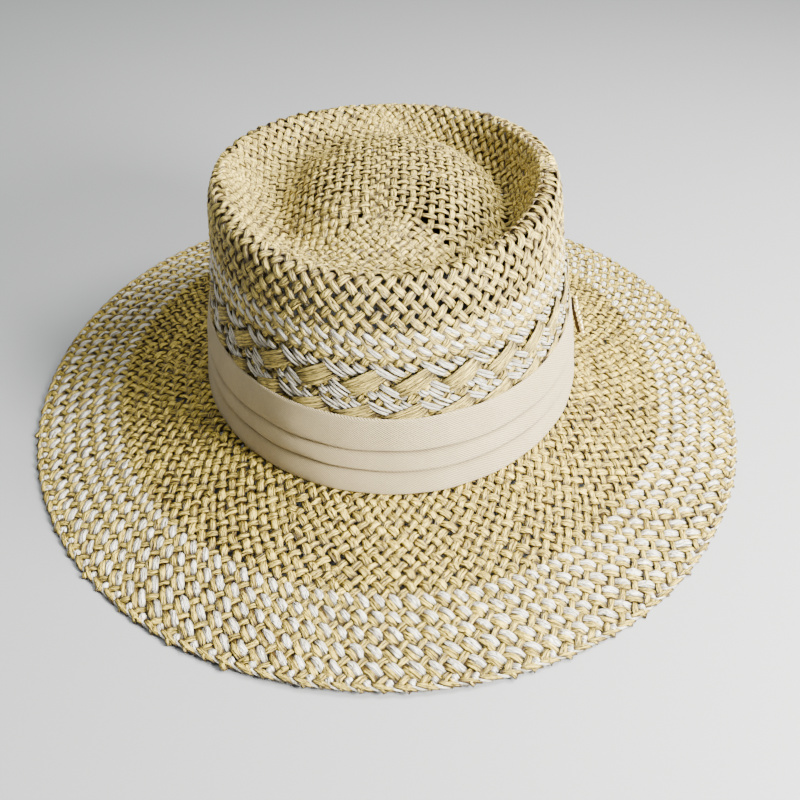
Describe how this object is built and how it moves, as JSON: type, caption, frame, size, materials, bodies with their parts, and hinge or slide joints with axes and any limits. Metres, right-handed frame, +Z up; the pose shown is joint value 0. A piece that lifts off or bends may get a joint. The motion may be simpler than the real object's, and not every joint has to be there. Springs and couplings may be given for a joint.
{
  "type": "wide-brim straw sun hat",
  "caption": "Woven straw sun hat with an oval telescope crown, a wide sloping brim, a pleated cloth band and a beaded metal plaque on the band.",
  "frame": {"origin": "on the surface that the brim rests on, under the middle of the brim", "axes": "+Z up through the crown, -Y towards the front of the hat, +X towards the wearer's left"},
  "size_m": [0.34, 0.373, 0.1203],
  "materials": {
    "straw": "matte woven paper straw, natural and white strands",
    "band_cloth": "cream cotton twill, pleated",
    "plaque_metal": "bright pale gold and silver beads"
  },
  "bodies": {
    "root": {"crown": "straw", "brim": "straw", "hat_band": "band_cloth", "band_plaque": "plaque_metal"}
  },
  "joints": []
}
